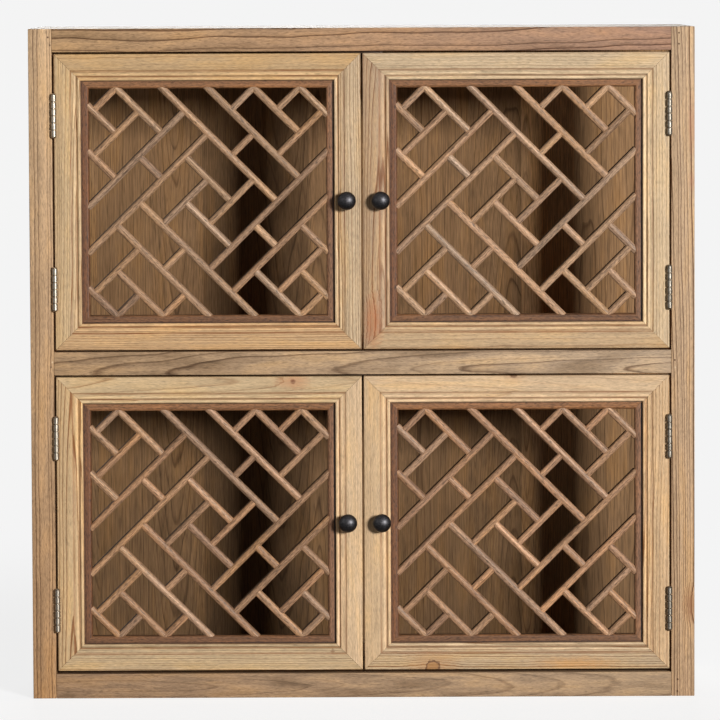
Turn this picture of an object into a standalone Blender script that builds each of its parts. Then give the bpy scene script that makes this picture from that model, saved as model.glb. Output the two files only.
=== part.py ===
"""Four-door pine display cabinet with lattice door panels and glass sides.

The cabinet stands on z = 0 and its front faces -Y, with +X to the right.
Two corner posts, three rails and a back board carry the top, shelf and floor,
and a pane slides into grooves on each side. Four inset doors swing on butt
hinges. Each door is a mitred, moulded frame with one grille of half-round bars.
"""

import math

import bmesh
import bpy
from mathutils import Matrix, Vector

# Whole cabinet, in metres
WIDTH = 1.000
HEIGHT = 1.011
DEPTH = 0.380

# Gap that touching pieces keep
FIT = 0.0003

# Face frame
FACE_T = 0.022
STILE_W = 0.035
TOP_RAIL_H = 0.035
MIDDLE_RAIL_H = 0.035
BOTTOM_RAIL_H = 0.037
FACE_EASE = 0.0008
TENON_SHOULDER = 0.007
TENON_L = 0.020

# Carcass boards
POST_D = 0.065
SHELF_T = 0.018
SHELF_SET = 0.001
HOUSING = 0.006
BACK_T = 0.018

# Glass sides: a pane in grooves, above a low rail
SIDE_RAIL_T = 0.022
SIDE_RAIL_H = 0.055
PANE_T = 0.004
PANE_GROOVE = 0.006
SHELF_CLEAR = 0.001

# Doors
DOOR_T = 0.020
DOOR_GAP = 0.003
CENTRE_GAP = 0.003
SILL_GAP = 0.005

# Moulded door frame: widths across a member from its outer edge, then depths from its face
FLAT_W = 0.024
STEP_W = 0.001
BAND_W = 0.008
QUIRK_W = 0.0015
BEAD_W = 0.0055
DOOR_EASE = 0.0008
STEP_DEEP = 0.0010
BAND_DEEP = 0.0026
QUIRK_DEEP = 0.0042
BEAD_DEEP = 0.0016
BAND_STEPS = 2
BEAD_STEPS = 5
LIP_T = 0.0075
REBATE_W = 0.0045

# Lattice grille: its frame strip, its bars, and the grid that their centre lines follow
STRIP_SHOW = 0.012
STRIP_T = 0.0115
STRIP_ROUND = 0.004
BAR_W = 0.010
BAR_SET = 0.0005
BAR_CROWN = 0.0042
BAR_BUTT = 0.002
GRID = 10
GRID_SIDE = 0.00575
GRID_END = 0.0015
STRIP_LAP = 0.0025
STRIP_BURY = 0.0035
STRIP_STEPS = 3
BAR_STEPS = 4

# One half of the pattern as (column, row, length) in grid steps; a half turn gives the rest
FALLING = ((1, 0, 2), (3, 0, 5), (5, 0, 4), (7, 0, 2), (9, 0, 1),
           (0, 1, 1), (0, 3, 1), (2, 3, 1), (4, 3, 2))
RISING = ((0, 1, 1), (0, 3, 2), (0, 5, 4), (0, 7, 5), (6, 1, 1),
          (8, 1, 1), (8, 3, 2), (6, 3, 1), (3, 6, 2))

# Butt hinges
HINGE_L = 0.064
HINGE_INSET = 0.092
KNUCKLES = 6
KNUCKLE_PLAY = 0.0003
BARREL_R = 0.0042
PIN_R = 0.0020
PIN_PLAY = 0.0003
TIP_L = 0.0020
LEAF_T = 0.0010
LEAF_W = 0.016
BARREL_SIDES = 10
PIN_SIDES = 8

# Turned iron knobs
KNOB_R = 0.014
KNOB_DOME = 0.0095
KNOB_OUT = 0.026
KNOB_NECK_R = 0.0048
KNOB_FOOT_R = 0.0065
KNOB_FOOT_H = 0.0025
KNOB_LEFT_INSET = 0.0215
KNOB_RIGHT_INSET = 0.0265
KNOB_RISE = 0.0015
KNOB_STEPS = 16
DOME_STEPS = 4
UNDER_STEPS = 2

# Double magnetic catches behind the rails, and the strike plates on the doors
CATCH_W = 0.064
CATCH_H = 0.024
CATCH_T = 0.012
CATCH_DROP = 0.012
POLE_FROM_CENTRE = 0.018
POLE_GAP = 0.016
POLE_DEEP = 0.0015
STRIKE_W = 0.026
STRIKE_H = 0.010
STRIKE_T = 0.0012
STRIKE_FROM_TOP = 0.002

# Levels and edges that follow from the sizes above
FRONT = (KNOB_OUT + FIT - DEPTH) / 2
FACE_BACK = FRONT + FACE_T
POST_BACK = FRONT + POST_D
BACK = FRONT + DEPTH
BACK_FACE = BACK - BACK_T
TOP_UNDER = HEIGHT - SHELF_T
PANE_X = (WIDTH - STILE_W) / 2
MEMBER_W = FLAT_W + STEP_W + BAND_W + QUIRK_W + BEAD_W
DOOR_W = (WIDTH - 2 * STILE_W - 2 * DOOR_GAP - CENTRE_GAP) / 2
DOOR_H = (HEIGHT - TOP_RAIL_H - MIDDLE_RAIL_H - BOTTOM_RAIL_H - 3 * DOOR_GAP - SILL_GAP) / 2
LOWER_DOOR_Z = BOTTOM_RAIL_H + SILL_GAP
MIDDLE_RAIL_Z = LOWER_DOOR_Z + DOOR_H + DOOR_GAP
UPPER_DOOR_Z = MIDDLE_RAIL_Z + MIDDLE_RAIL_H + DOOR_GAP
TOP_RAIL_Z = HEIGHT - TOP_RAIL_H
CLEAR_W = DOOR_W - 2 * MEMBER_W - 2 * STRIP_SHOW
CLEAR_H = DOOR_H - 2 * MEMBER_W - 2 * STRIP_SHOW
STRIP_W = STRIP_SHOW + REBATE_W - FIT
AXIS_Y = FRONT - BARREL_R - FIT

# Finishes as colour, roughness, metallic
FINISHES = {
    "weathered_pine": ((0.45, 0.32, 0.20), 0.65, 0.0),
    "honey_pine": ((0.57, 0.40, 0.23), 0.55, 0.0),
    "lattice_wood": ((0.27, 0.14, 0.08), 0.60, 0.0),
    "carcass_pine": ((0.38, 0.27, 0.17), 0.70, 0.0),
    "back_pine": ((0.24, 0.15, 0.09), 0.65, 0.0),
    "side_glass": ((0.80, 0.86, 0.83), 0.05, 0.0),
    "hinge_nickel": ((0.52, 0.48, 0.42), 0.35, 1.0),
    "knob_iron": ((0.02, 0.02, 0.02), 0.40, 1.0),
    "catch_plastic": ((0.30, 0.20, 0.12), 0.50, 0.0),
    "strike_steel": ((0.55, 0.55, 0.55), 0.35, 1.0),
}


def clear_scene():
    """Start from an empty scene with a collection for the parts and one for the cutters."""
    for obj in list(bpy.data.objects):
        bpy.data.objects.remove(obj, do_unlink=True)
    groups = []
    for name in ("display_cabinet", "cutters"):
        group = bpy.data.collections.new(name)
        bpy.context.scene.collection.children.link(group)
        groups.append(group)
    return groups


def make_finish(name, colour, roughness, metallic):
    """One Principled material."""
    material = bpy.data.materials.new(name)
    material.use_nodes = True
    shader = material.node_tree.nodes["Principled BSDF"]
    shader.inputs["Base Color"].default_value = (*colour, 1.0)
    shader.inputs["Roughness"].default_value = roughness
    shader.inputs["Metallic"].default_value = metallic
    return material


PARTS, CUTTERS = clear_scene()
MATERIALS = {name: make_finish(name, *values) for name, values in FINISHES.items()}


def to_mesh(bm, name):
    """Close a bmesh into a mesh with its faces pointing out."""
    bmesh.ops.recalc_face_normals(bm, faces=bm.faces)
    mesh = bpy.data.meshes.new(name)
    bm.to_mesh(mesh)
    bm.free()
    return mesh


def box_mesh(name, low, high, ease=0.0):
    """A board between two corners, centred on its own origin, with eased edges if asked."""
    bm = bmesh.new()
    size = Vector(high) - Vector(low)
    bmesh.ops.create_cube(bm, size=1.0, matrix=Matrix.Diagonal((*size, 1.0)))
    if ease:
        bmesh.ops.bevel(bm, geom=bm.edges, offset=ease, affect="EDGES", segments=1,
                        profile=0.5, material=-1)
    return to_mesh(bm, name)


def prism_mesh(name, outline, length, mitre=0.0):
    """Extrude an outline of (across, depth) points along X, and shear its ends to a mitre.

    Across runs down from z = 0 and depth runs back along +Y. A mitre of 1 cuts both ends
    at 45 degrees, so that the inner edge is the shorter one.
    """
    bm = bmesh.new()
    ring = [bm.verts.new((-length / 2 + mitre * across, deep, -across)) for across, deep in outline]
    first = bm.faces.new(ring)
    grown = bmesh.ops.extrude_face_region(bm, geom=[first])["geom"]
    for vert in (item for item in grown if isinstance(item, bmesh.types.BMVert)):
        vert.co.x = -vert.co.x
    return to_mesh(bm, name)


def place(name, mesh, finish, location, turn=0.0, parent=None):
    """Add one part at a place in the cabinet, turned about the depth axis."""
    obj = bpy.data.objects.new(name, mesh)
    PARTS.objects.link(obj)
    if not mesh.materials:
        mesh.materials.append(MATERIALS[finish])
    obj.location = Vector(location)
    obj.rotation_euler = (0.0, turn, 0.0)
    if parent:
        obj.parent = parent
        obj.location -= parent.location
    return obj


def board(name, low, high, finish, ease=0.0, parent=None):
    """Add a board that fills the space between two corners."""
    middle = (Vector(low) + Vector(high)) / 2
    return place(name, box_mesh(name, low, high, ease), finish, middle, parent=parent)


def add_cutter(name, low, high, group):
    """Add a box that only cuts."""
    cutter = bpy.data.objects.new(name, box_mesh(name, low, high))
    cutter.location = (Vector(low) + Vector(high)) / 2
    cutter.hide_render = True
    cutter.display_type = "WIRE"
    group.objects.link(cutter)


def cut(obj, boxes):
    """Cut a list of boxes out of a part."""
    group = bpy.data.collections.new(obj.name + "_cuts")
    CUTTERS.children.link(group)
    for number, (low, high) in enumerate(boxes):
        add_cutter(f"{obj.name}_cut_{number}", low, high, group)
    modifier = obj.modifiers.new("cuts", "BOOLEAN")
    modifier.operation = "DIFFERENCE"
    modifier.operand_type = "COLLECTION"
    modifier.collection = group


def joined_mesh(name, meshes, bore=None):
    """Join meshes into one body with a Boolean union, then drill a bore if there is one."""
    scratch = bpy.data.collections.new(name + "_pieces")
    bpy.context.scene.collection.children.link(scratch)
    objects = [bpy.data.objects.new(f"{name}_{n}", mesh) for n, mesh in enumerate(meshes)]
    base = objects[0]
    bpy.context.scene.collection.objects.link(base)
    for obj in objects[1:]:
        scratch.objects.link(obj)
    modifier = base.modifiers.new("join", "BOOLEAN")
    modifier.operation = "UNION"
    modifier.operand_type = "COLLECTION"
    modifier.collection = scratch
    if bore:
        drill = bpy.data.objects.new(name + "_bore", bore)
        bpy.context.scene.collection.objects.link(drill)
        objects.append(drill)
        modifier = base.modifiers.new("bore", "BOOLEAN")
        modifier.operation = "DIFFERENCE"
        modifier.object = drill
    graph = bpy.context.evaluated_depsgraph_get()
    mesh = bpy.data.meshes.new_from_object(base.evaluated_get(graph))
    mesh.name = name
    for obj in objects:
        bpy.data.objects.remove(obj, do_unlink=True)
    bpy.data.collections.remove(scratch)
    return mesh


def arc(centre, radii, start, end, steps):
    """Points of an elliptical arc, in degrees, both ends included."""
    points = []
    for n in range(steps + 1):
        angle = math.radians(start + (end - start) * n / steps)
        points.append((centre[0] + radii[0] * math.cos(angle), centre[1] + radii[1] * math.sin(angle)))
    return points


def cylinder_mesh(name, radii, low_z, high_z, sides):
    """A cylinder or cone on the Z axis, with its lower and upper radius."""
    bm = bmesh.new()
    middle = Matrix.Translation((0, 0, (low_z + high_z) / 2))
    bmesh.ops.create_cone(bm, cap_ends=True, segments=sides, radius1=radii[0], radius2=radii[1],
                          depth=high_z - low_z, matrix=middle)
    return to_mesh(bm, name)


def pane_box(sign, extra):
    """Corners of a side pane, let into its grooves all round, with extra room for a groove."""
    near = sign * (PANE_X - PANE_T / 2 - extra)
    far = sign * (PANE_X + PANE_T / 2 + extra)
    deep = PANE_GROOVE - FIT + extra
    low = (min(near, far), POST_BACK - deep, SIDE_RAIL_H - deep)
    high = (max(near, far), BACK_FACE + deep, TOP_UNDER + deep)
    return low, high


def side_rail_box(sign, extra):
    """Corners of a side rail, housed in the post and the back, with extra room for its housings."""
    near = sign * (PANE_X - SIDE_RAIL_T / 2 - extra)
    far = sign * (PANE_X + SIDE_RAIL_T / 2 + extra)
    deep = HOUSING - FIT + extra
    low = (min(near, far), POST_BACK - deep, -extra)
    high = (max(near, far), BACK_FACE + deep, SIDE_RAIL_H + extra)
    return low, high


def post_notch(sign):
    """The corner that a board leaves free for a post."""
    near = sign * (WIDTH / 2 - STILE_W - FIT)
    far = sign * WIDTH
    return (min(near, far), FRONT - POST_D, -HEIGHT), (max(near, far), POST_BACK + FIT, 2 * HEIGHT)


def make_carcass():
    """Back board, top, shelf, floor, and the low rails and panes of the sides."""
    shelf_top = MIDDLE_RAIL_Z + MIDDLE_RAIL_H - SHELF_SET
    floor_top = BOTTOM_RAIL_H - SHELF_SET
    shelf_reach = PANE_X - PANE_T / 2 - SHELF_CLEAR
    floor_reach = PANE_X - SIDE_RAIL_T / 2 + HOUSING - FIT
    front = FACE_BACK + FIT
    boards = {
        "top_panel": (WIDTH / 2, BACK, HEIGHT),
        "middle_shelf": (shelf_reach, BACK_FACE + HOUSING - FIT, shelf_top),
        "bottom_panel": (floor_reach, BACK_FACE - FIT, floor_top),
    }
    panes = [pane_box(sign, FIT) for sign in (-1, 1)]
    notches = [post_notch(sign) for sign in (-1, 1)]
    for name, (reach, rear, top) in boards.items():
        panel = board(name, (-reach, front, top - SHELF_T), (reach, rear, top), "carcass_pine")
        cut(panel, notches + panes if name == "top_panel" else notches)

    back = board("back_panel", (-WIDTH / 2, BACK_FACE, 0), (WIDTH / 2, BACK, TOP_UNDER - FIT), "back_pine")
    shelf_groove = ((-shelf_reach - FIT, BACK_FACE - HOUSING, shelf_top - SHELF_T - FIT),
                    (shelf_reach + FIT, BACK_FACE + HOUSING, shelf_top + FIT))
    rails = [side_rail_box(sign, FIT) for sign in (-1, 1)]
    cut(back, [shelf_groove] + rails + panes)

    floor_groove = ((-floor_reach - FIT, FRONT, floor_top - SHELF_T - FIT),
                    (floor_reach + FIT, BACK, floor_top + FIT))
    for side, sign in (("left", -1), ("right", 1)):
        rail = board(side + "_side_rail", *side_rail_box(sign, 0.0), "weathered_pine")
        cut(rail, [floor_groove, pane_box(sign, FIT)])
        board(side + "_side_glass", *pane_box(sign, 0.0), "side_glass")


def rail_mesh(name, height):
    """A face frame rail with a stub tenon on each end."""
    length = WIDTH - 2 * STILE_W - 2 * FIT
    bm = bmesh.new()
    bmesh.ops.create_cube(bm, size=1.0, matrix=Matrix.Diagonal((length, FACE_T, height, 1.0)))
    ends = [face for face in bm.faces if abs(face.normal.x) > 0.5]
    bmesh.ops.inset_individual(bm, faces=ends, thickness=TENON_SHOULDER, use_even_offset=True)
    for end in ends:
        reach = end.normal * TENON_L
        tenon = bmesh.ops.extrude_discrete_faces(bm, faces=[end])["faces"][0]
        bmesh.ops.translate(bm, verts=tenon.verts, vec=reach)
    return to_mesh(bm, name)


def make_face_frame():
    """Corner posts that run the full height, mortised for the rails and grooved for the panes."""
    rails = {
        "top_rail": (TOP_RAIL_Z, TOP_RAIL_H),
        "middle_rail": (MIDDLE_RAIL_Z, MIDDLE_RAIL_H),
        "bottom_rail": (0.0, BOTTOM_RAIL_H),
    }
    for name, (low_z, height) in rails.items():
        place(name, rail_mesh(name, height), "weathered_pine", (0, FRONT + FACE_T / 2, low_z + height / 2))
    inner = WIDTH / 2 - STILE_W
    for name, sign in (("left_stile", -1), ("right_stile", 1)):
        edges = sorted((sign * inner, sign * WIDTH / 2))
        low = (edges[0], FRONT, 0)
        high = (edges[1], POST_BACK, HEIGHT)
        stile = board(name, low, high, "weathered_pine", FACE_EASE)
        mouth = sorted((sign * (inner - STILE_W), sign * (inner + TENON_L + FIT)))
        near = FRONT + TENON_SHOULDER - FIT
        far = FACE_BACK - TENON_SHOULDER + FIT
        mortises = []
        for low_z, height in rails.values():
            low = (mouth[0], near, low_z + TENON_SHOULDER - FIT)
            high = (mouth[1], far, low_z + height - TENON_SHOULDER + FIT)
            mortises.append((low, high))
        cut(stile, mortises + [side_rail_box(sign, FIT), pane_box(sign, FIT)])


def member_outline():
    """Section of a door frame member: flat, step, swelling band, quirk, bead and rear rebate."""
    band = FLAT_W + STEP_W
    quirk = band + BAND_W
    bead = quirk + QUIRK_W
    radius = BEAD_W / 2
    outline = [(0, DOOR_T), (0, DOOR_EASE), (DOOR_EASE, 0), (FLAT_W, 0), (band, STEP_DEEP)]
    outline += arc((band, BAND_DEEP), (BAND_W, BAND_DEEP - STEP_DEEP), -90, 0, BAND_STEPS)[1:]
    outline += [(quirk, QUIRK_DEEP)]
    outline += arc((bead + radius, QUIRK_DEEP), (radius, QUIRK_DEEP - BEAD_DEEP), -180, 0, BEAD_STEPS)
    outline += [(MEMBER_W, LIP_T), (MEMBER_W - REBATE_W, LIP_T), (MEMBER_W - REBATE_W, DOOR_T)]
    return outline


def strip_frame_mesh():
    """The grille's own frame: a strip with a rounded inner edge, mitred round the opening."""
    wide = CLEAR_W / 2 + STRIP_W
    high = CLEAR_H / 2 + STRIP_W
    section = [(0, STRIP_T), (0, 0)]
    section += arc((STRIP_W - STRIP_ROUND, STRIP_ROUND), (STRIP_ROUND, STRIP_ROUND), -90, 0, STRIP_STEPS)
    section += [(STRIP_W, STRIP_T)]
    bm = bmesh.new()
    rings = []
    for turn_x, turn_z in ((-1, 1), (1, 1), (1, -1), (-1, -1)):
        verts = [bm.verts.new((turn_x * (wide - across), deep, turn_z * (high - across)))
                 for across, deep in section]
        rings.append([bm.edges.new((verts[n], verts[n - 1])) for n in range(len(verts))])
    for n in range(len(rings)):
        bmesh.ops.bridge_loops(bm, edges=rings[n] + rings[n - 1])
    return to_mesh(bm, "strip_frame")


def grid_point(column, row):
    """Where a grid crossing lies in the grille's plane; rows count down from the top."""
    step_x = (CLEAR_W - 2 * GRID_SIDE) / GRID
    step_z = (CLEAR_H + 2 * GRID_END) / GRID
    return Vector(((column - GRID / 2) * step_x, 0.0, (GRID / 2 - row) * step_z))


def bar_run(start, end, taken):
    """Ends of a bar's centre line, run on to the frame strip or cut back to the bar that it meets."""
    ends = []
    for here, there in ((start, end), (end, start)):
        point = grid_point(*here)
        along = (point - grid_point(*there)).normalized()
        if here[1] in (0, GRID):
            reach = (STRIP_BURY + BAR_W / 2) / math.sqrt(2)
        elif here[0] in (0, GRID) and here not in taken:
            reach = (GRID_SIDE + STRIP_LAP) / abs(along.x)
        else:
            reach = BAR_BUTT - BAR_W / 2
        ends.append(point + along * reach)
    return ends


def bar_mesh(name, ends):
    """A half-round lattice bar between two points."""
    section = [(BAR_W, STRIP_T - BAR_SET), (0, STRIP_T - BAR_SET)]
    section += arc((BAR_W / 2, BAR_SET + BAR_CROWN), (BAR_W / 2, BAR_CROWN), -180, 0, BAR_STEPS)
    run = ends[1] - ends[0]
    mesh = prism_mesh(name, section, run.length)
    turn = Matrix.Rotation(-math.atan2(run.z, run.x), 4, "Y")
    middle = Matrix.Translation((ends[0] + ends[1]) / 2)
    mesh.transform(middle @ turn @ Matrix.Translation((0, 0, BAR_W / 2)))
    return mesh


def half_turn(point):
    """The grid crossing opposite a given one."""
    return (GRID - point[0], GRID - point[1])


def lattice_mesh():
    """The whole grille as one body."""
    falling = [((i, j), (i + n, j + n)) for i, j, n in FALLING]
    rising = [((i, j), (i + n, j - n)) for i, j, n in RISING]
    falling += [(half_turn(end), half_turn(start)) for start, end in falling]
    rising += [(half_turn(end), half_turn(start)) for start, end in rising]
    taken = {point for bar in falling for point in bar}
    pieces = [strip_frame_mesh()]
    for start, end in falling:
        pieces.append(bar_mesh("falling_bar", bar_run(start, end, ())))
    for start, end in rising:
        pieces.append(bar_mesh("rising_bar", bar_run(start, end, taken)))
    return joined_mesh("lattice", pieces)


def leaf_mesh(name, near, first, bore=None):
    """A hinge leaf about its pin axis: a plate in the gap, and every other knuckle from the first.

    Near is the plate's face on the side of the face frame. A leaf with no bore carries the pin.
    """
    pitch = HINGE_L / KNUCKLES
    reach = BARREL_R + FIT
    half = HINGE_L / 2
    plates = [(reach - FIT / 2, reach + LEAF_W, -half, half)]
    spans = []
    for n in range(first, KNUCKLES, 2):
        spans.append((half - (n + 1) * pitch + KNUCKLE_PLAY / 2, half - n * pitch - KNUCKLE_PLAY / 2))
    plates += [(0.0, reach + FIT, low, high) for low, high in spans]
    pieces = []
    for front, rear, low, high in plates:
        size = (LEAF_T, rear - front, high - low)
        middle = (near + LEAF_T / 2, (front + rear) / 2, (low + high) / 2)
        bm = bmesh.new()
        bmesh.ops.create_cube(bm, size=1.0, matrix=Matrix.LocRotScale(middle, None, size))
        pieces.append(to_mesh(bm, name))
    barrel = (BARREL_R, BARREL_R)
    pieces += [cylinder_mesh(name, barrel, low, high, BARREL_SIDES) for low, high in spans]
    if not bore:
        pieces.append(cylinder_mesh(name, (PIN_R, PIN_R), -half - FIT, half, PIN_SIDES))
        low_tip = (-half - TIP_L, -half - FIT / 2)
        high_tip = (half - KNUCKLE_PLAY, half + TIP_L)
        pieces.append(cylinder_mesh(name, (PIN_R, BARREL_R), *low_tip, BARREL_SIDES))
        pieces.append(cylinder_mesh(name, (BARREL_R, PIN_R), *high_tip, BARREL_SIDES))
    return joined_mesh(name, pieces, bore)


def knob_mesh():
    """Profile of a mushroom knob from the crown of its dome to its foot, spun about Z."""
    edge = KNOB_OUT - KNOB_DOME
    under = edge - KNOB_DOME / 2
    profile = arc((0, edge), (KNOB_R, KNOB_DOME), 90, 0, DOME_STEPS)
    profile += arc((KNOB_NECK_R, edge), (KNOB_R - KNOB_NECK_R, KNOB_DOME / 2), 0, -90, UNDER_STEPS)[1:]
    profile += [(KNOB_NECK_R, under - KNOB_FOOT_H), (KNOB_NECK_R, 2 * KNOB_FOOT_H)]
    profile += [(KNOB_FOOT_R, KNOB_FOOT_H), (KNOB_FOOT_R, 0), (0, 0)]
    bm = bmesh.new()
    verts = [bm.verts.new((radius, 0, height)) for radius, height in profile]
    for n in range(len(verts) - 1):
        bm.edges.new((verts[n], verts[n + 1]))
    mesh = bpy.data.meshes.new("knob")
    bm.to_mesh(mesh)
    bm.free()
    return mesh


def make_knob(name, mesh, location, parent):
    """Add a turned knob that points out of the door."""
    knob = place(name, mesh, "knob_iron", location, parent=parent)
    knob.rotation_euler = (math.radians(90), 0, 0)
    turning = knob.modifiers.new("turning", "SCREW")
    turning.steps = KNOB_STEPS
    turning.render_steps = KNOB_STEPS
    turning.use_merge_vertices = True
    turning.merge_threshold = 0.00001
    turning.use_smooth_shade = True


def make_catch(name, rail_z):
    """A double magnetic catch on the back of a rail, hanging below it to meet both doors of a row."""
    front = FACE_BACK + FIT
    low = (-CATCH_W / 2, front, rail_z - CATCH_DROP)
    high = (CATCH_W / 2, front + CATCH_T, rail_z - CATCH_DROP + CATCH_H)
    catch = board(name, low, high, "catch_plastic")
    magnets = []
    for centre_x in (-POLE_FROM_CENTRE, POLE_FROM_CENTRE):
        low = (centre_x - POLE_GAP / 2, front - CATCH_T, rail_z - 2 * CATCH_DROP)
        high = (centre_x + POLE_GAP / 2, front + POLE_DEEP, rail_z - DOOR_GAP)
        magnets.append((low, high))
    cut(catch, magnets)


def make_door(row, side, low_z, shapes):
    """One door with its frame, grille, knob, hinges and strike plate."""
    sign = -1 if side == "left" else 1
    door = f"{row}_{side}"
    edge_x = sign * (WIDTH / 2 - STILE_W - DOOR_GAP)
    meeting_x = sign * CENTRE_GAP / 2
    middle_x = (edge_x + meeting_x) / 2
    middle_z = low_z + DOOR_H / 2
    top_z = low_z + DOOR_H
    axis = bpy.data.objects.new(door + "_hinge_axis", None)
    axis.location = (edge_x, AXIS_Y, middle_z)
    PARTS.objects.link(axis)

    quarter = sign * math.pi / 2
    members = (
        ("top_rail", "rail", middle_x, top_z, 0.0),
        ("bottom_rail", "rail", middle_x, low_z, math.pi),
        ("hinge_stile", "stile", edge_x, middle_z, quarter),
        ("knob_stile", "stile", meeting_x, middle_z, -quarter),
    )
    for part, shape, x, z, turn in members:
        place(f"{door}_door_{part}", shapes[shape], "honey_pine", (x, FRONT, z), turn, axis)
    grille_y = FRONT + LIP_T + FIT
    place(door + "_lattice", shapes["lattice"], "lattice_wood", (middle_x, grille_y, middle_z), 0.0, axis)
    inset = KNOB_LEFT_INSET if side == "left" else KNOB_RIGHT_INSET
    knob_spot = (meeting_x + sign * inset, FRONT - FIT, middle_z + KNOB_RISE)
    make_knob(door + "_knob", shapes["knob"], knob_spot, axis)

    flip = 0.0 if side == "left" else math.pi
    for end, hinge_z in (("top", top_z - HINGE_INSET), ("bottom", low_z + HINGE_INSET)):
        spot = (edge_x, AXIS_Y, hinge_z)
        place(f"{door}_{end}_hinge_frame_leaf", shapes["frame_leaf"], "hinge_nickel", spot, flip)
        place(f"{door}_{end}_hinge_door_leaf", shapes["door_leaf"], "hinge_nickel", spot, flip, axis)

    pole_x = sign * POLE_FROM_CENTRE
    rear = FRONT + DOOR_T + FIT
    strike_top = top_z - STRIKE_FROM_TOP
    board(door + "_strike_plate", (pole_x - STRIKE_W / 2, rear, strike_top - STRIKE_H),
          (pole_x + STRIKE_W / 2, rear + STRIKE_T, strike_top), "strike_steel", parent=axis)


def make_doors():
    """Four doors from one set of shapes."""
    outline = member_outline()
    trim = FIT * math.sqrt(2)
    bore_r = PIN_R + PIN_PLAY
    pin_bore = cylinder_mesh("pin_bore", (bore_r, bore_r), -HINGE_L, HINGE_L, PIN_SIDES)
    shapes = {
        "rail": prism_mesh("door_rail", outline, DOOR_W - trim, 1.0),
        "stile": prism_mesh("door_stile", outline, DOOR_H - trim, 1.0),
        "lattice": lattice_mesh(),
        "frame_leaf": leaf_mesh("hinge_frame_leaf", FIT - DOOR_GAP, 0),
        "door_leaf": leaf_mesh("hinge_door_leaf", -FIT - LEAF_T, 1, pin_bore),
        "knob": knob_mesh(),
    }
    for row, low_z in (("upper", UPPER_DOOR_Z), ("lower", LOWER_DOOR_Z)):
        for side in ("left", "right"):
            make_door(row, side, low_z, shapes)
        make_catch(row + "_catch", low_z + DOOR_H + DOOR_GAP)


make_carcass()
make_face_frame()
make_doors()
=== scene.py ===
# %% [markdown]
# # A pine display cabinet with lattice doors
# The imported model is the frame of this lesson: every board, hinge and knob in it has its true
# size and place. We load it first, keep its box, and then dress it piece by piece. Nothing in
# the frame is moved, because the joints and the collision shapes depend on it.

# %% Load the frame
import math
import random

import bmesh
import bpy
from mathutils import Matrix, Vector, noise


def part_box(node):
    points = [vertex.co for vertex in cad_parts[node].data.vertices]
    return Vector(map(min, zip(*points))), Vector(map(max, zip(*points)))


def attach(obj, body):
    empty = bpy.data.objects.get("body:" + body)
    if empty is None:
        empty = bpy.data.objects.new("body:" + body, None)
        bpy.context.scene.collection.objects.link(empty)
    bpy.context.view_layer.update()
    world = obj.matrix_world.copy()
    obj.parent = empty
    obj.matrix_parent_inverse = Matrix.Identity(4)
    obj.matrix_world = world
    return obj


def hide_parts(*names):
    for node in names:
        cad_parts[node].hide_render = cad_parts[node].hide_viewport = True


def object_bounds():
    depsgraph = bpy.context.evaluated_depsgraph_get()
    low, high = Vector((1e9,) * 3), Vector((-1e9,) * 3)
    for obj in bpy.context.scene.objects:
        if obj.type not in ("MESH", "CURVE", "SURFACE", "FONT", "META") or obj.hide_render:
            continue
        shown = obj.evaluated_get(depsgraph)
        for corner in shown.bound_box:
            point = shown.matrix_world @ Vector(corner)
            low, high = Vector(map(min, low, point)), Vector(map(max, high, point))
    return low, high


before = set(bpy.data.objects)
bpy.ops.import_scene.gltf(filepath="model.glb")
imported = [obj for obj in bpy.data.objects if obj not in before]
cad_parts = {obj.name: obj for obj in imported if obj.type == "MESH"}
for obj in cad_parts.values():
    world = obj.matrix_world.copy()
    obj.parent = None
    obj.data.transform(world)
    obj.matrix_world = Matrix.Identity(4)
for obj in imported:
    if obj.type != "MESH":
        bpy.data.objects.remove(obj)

cad_low, cad_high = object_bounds()
print("cabinet box", [round(x, 4) for x in cad_low], [round(x, 4) for x in cad_high])

# %% [markdown]
# ## Camera
# The photograph looks straight at the doors with the eye just above the top: a thin sliver of the top
# shows, and the sides stay upright. A camera that tilts down makes uprights lean together, and less so
# the farther away it stands, so this one stands well back with a long lens and tilts a few degrees.
# It needs no lens shift, which would push the cabinet out of the middle of every other view.

# %% Place the camera
face_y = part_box("left_stile")[0].y
cabinet_width = cad_high.x - cad_low.x
cabinet_middle = (cad_low.z + cad_high.z) / 2
eye_distance = 8.0
eye_height = 1.088
photo_width_px = 720
cabinet_width_px = 664.0
cabinet_below_centre_px = 4.0
sensor_mm = 36.0
roll = math.radians(0.24)
eye_side = -0.0015

camera = bpy.data.objects.new("camera", bpy.data.cameras.new("camera"))
bpy.context.scene.collection.objects.link(camera)
bpy.context.scene.camera = camera
drop = eye_height - cabinet_middle
reach = math.hypot(eye_distance, drop)
lens_ratio = cabinet_width_px / photo_width_px * reach / cabinet_width
camera.data.sensor_width = sensor_mm
camera.data.lens = sensor_mm * lens_ratio
tilt = math.atan2(drop, eye_distance) - math.atan(cabinet_below_centre_px / photo_width_px / lens_ratio)
camera.location = (eye_side, face_y - eye_distance, eye_height)
camera.rotation_euler = (math.radians(90) - tilt, roll, 0.0)
print("lens", round(camera.data.lens, 1), "mm, tilt", round(math.degrees(tilt), 2), "degrees")

# %% [markdown]
# ## Studio light
# The key soft box stands far off to the right and a little above, so each round bar has a lit crown and a
# dark far side, and the posts throw soft-edged shadows on the back panel. A small weak box on the left puts
# a glint on the knobs, and one behind the cabinet lights the floor and the panes from the other side. Lamp
# powers are worked out so that a sheet of paper on the doors would render at the colour it is written in:
# a small lamp of P watts at d metres gives P / (pi * d * d) watts per square metre.

# %% Soft boxes
scene = bpy.context.scene
scene.view_settings.view_transform = "Standard"
target = Vector((0.0, face_y, 0.52))
inward = Vector((0, 1, 0))


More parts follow.
